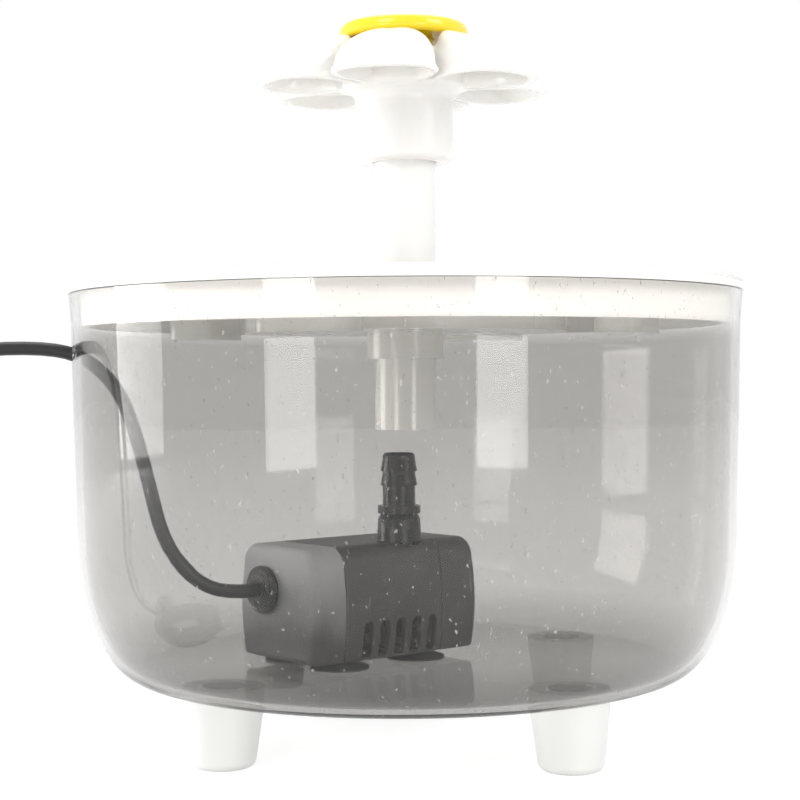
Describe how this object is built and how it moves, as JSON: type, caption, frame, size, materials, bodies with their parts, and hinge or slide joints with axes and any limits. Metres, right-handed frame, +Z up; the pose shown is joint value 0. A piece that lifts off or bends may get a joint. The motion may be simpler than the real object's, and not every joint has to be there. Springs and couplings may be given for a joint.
{
  "type": "pet water fountain",
  "caption": "Free-standing pet drinking fountain: transparent bowl on feet, white lid with a stem tube and a lift-off flower, and a small submersible pump on a lead.",
  "frame": {"origin": "on the bowl's axis, on the surface that the four feet stand on", "axes": "+Z up along the bowl's axis; -Y is the side that the picture shows; the lead leaves the bowl towards -X"},
  "size_m": [0.2894, 0.2186, 0.2122],
  "materials": {
    "clear_bowl": "transparent smoke grey, glossy",
    "white_gloss": "moulded white, glossy",
    "foot_white": "milky white, satin",
    "yellow_gloss": "moulded yellow, glossy",
    "filter_felt": "white felt",
    "pump_grey": "dark grey, matte",
    "pump_black": "black, satin",
    "core_steel": "laminated steel",
    "copper_wire": "enamelled copper",
    "ferrite": "dark ferrite",
    "impeller_plastic": "off-white",
    "ceramic": "ground ceramic",
    "soft_black": "soft black",
    "cup_rubber": "soft black",
    "cord_jacket": "black, satin",
    "plug_metal": "pressed bright metal",
    "plug_insert": "white insert"
  },
  "bodies": {
    "bowl": {"bowl": "clear_bowl", "foot_front_left": "foot_white", "foot_front_right": "foot_white", "foot_back_right": "foot_white", "foot_back_left": "foot_white", "pump_end_cap": "pump_grey", "pump_body": "pump_grey", "motor_housing": "pump_black", "stator_core": "core_steel", "stator_winding": "copper_wire", "volute": "pump_black", "rotor_shaft": "ceramic", "rear_bush": "soft_black", "front_bush": "soft_black", "cord_gland": "soft_black", "suction_cup_near_left": "cup_rubber", "suction_cup_far_left": "cup_rubber", "suction_cup_near_right": "cup_rubber", "suction_cup_far_right": "cup_rubber", "cord_lead": "cord_jacket", "cord_coil": "cord_jacket", "cord_tie": "pump_black", "plug_grip": "cord_jacket", "plug_shell": "plug_metal", "plug_tongue": "plug_insert"},
    "lid": {"lid": "white_gloss"},
    "filter": {"filter_grille": "white_gloss", "filter_pad": "filter_felt"},
    "stem": {"stem_tube": "white_gloss"},
    "flower": {"flower": "white_gloss"},
    "pistil": {"pistil_cap": "yellow_gloss"},
    "pump_cover": {"pump_front_cover": "pump_grey"},
    "nozzle": {"pump_nozzle": "pump_black"},
    "rotor": {"rotor_magnet": "ferrite", "impeller": "impeller_plastic"}
  },
  "joints": [
    {"name": "lid_lift", "type": "slide", "parent": "bowl", "child": "lid", "axis": [0, 0, 1], "range_m": [0, 0.06]},
    {"name": "filter_lift", "type": "slide", "parent": "lid", "child": "filter", "axis": [0, 0, 1], "range_m": [0, 0.03]},
    {"name": "stem_lift", "type": "slide", "parent": "lid", "child": "stem", "axis": [0, 0, 1], "range_m": [0, 0.05]},
    {"name": "flower_lift", "type": "slide", "parent": "stem", "child": "flower", "axis": [0, 0, 1], "range_m": [0, 0.03]},
    {"name": "pistil_lift", "type": "slide", "parent": "flower", "child": "pistil", "axis": [0, 0, 1], "range_m": [0, 0.02]},
    {"name": "pump_cover_slide", "type": "slide", "parent": "bowl", "child": "pump_cover", "axis": [0.766, 0.6428, 0], "range_m": [0, 0.012]},
    {"name": "nozzle_lift", "type": "slide", "parent": "bowl", "child": "nozzle", "axis": [0, 0, 1], "range_m": [0, 0.0065]},
    {"name": "rotor_spin", "type": "hinge", "parent": "bowl", "child": "rotor", "pos_m": [-0.01509, 0.00137, 0.0413], "axis": [0.766, 0.6428, 0], "continuous": true}
  ]
}
